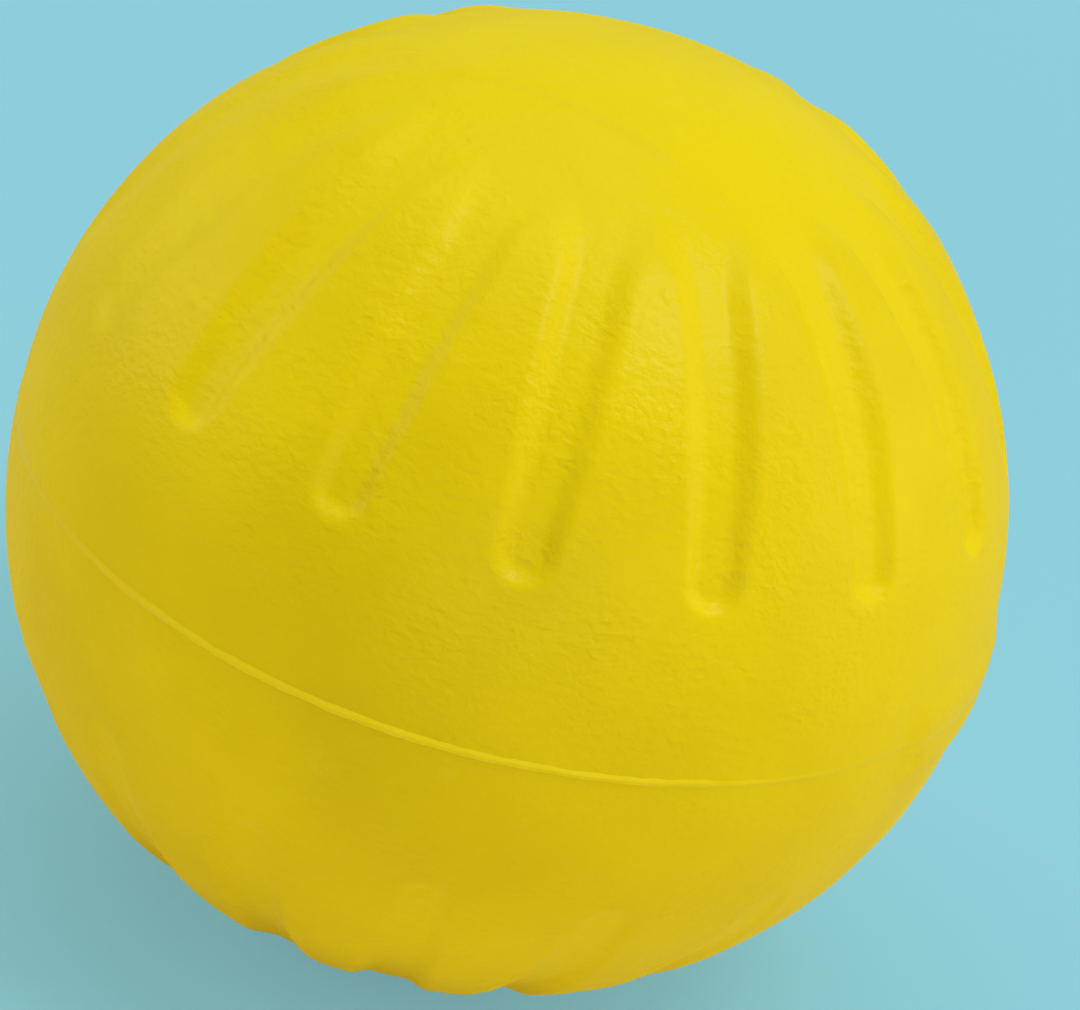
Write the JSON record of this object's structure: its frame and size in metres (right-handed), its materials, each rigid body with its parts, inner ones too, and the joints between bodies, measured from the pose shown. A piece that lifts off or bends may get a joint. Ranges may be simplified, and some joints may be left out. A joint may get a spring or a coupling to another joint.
{
  "type": "foam dodgeball",
  "caption": "Soft moulded foam play ball with tapering finger ribs and flutes on both halves, smooth polar caps and a raised moulding seam round its middle.",
  "frame": {"origin": "centre of the ball, in the plane of the moulding seam", "axes": "+Z along the moulding axis, through the middles of both polar caps; +X through the middle of one flute of each half"},
  "size_m": [0.1512, 0.1512, 0.146],
  "materials": {
    "skin": "satin",
    "seam": "satin",
    "core": "matte"
  },
  "bodies": {
    "root": {"upper_skin": "skin", "lower_skin": "skin", "seam_bead": "seam", "foam_core": "core"}
  },
  "joints": []
}
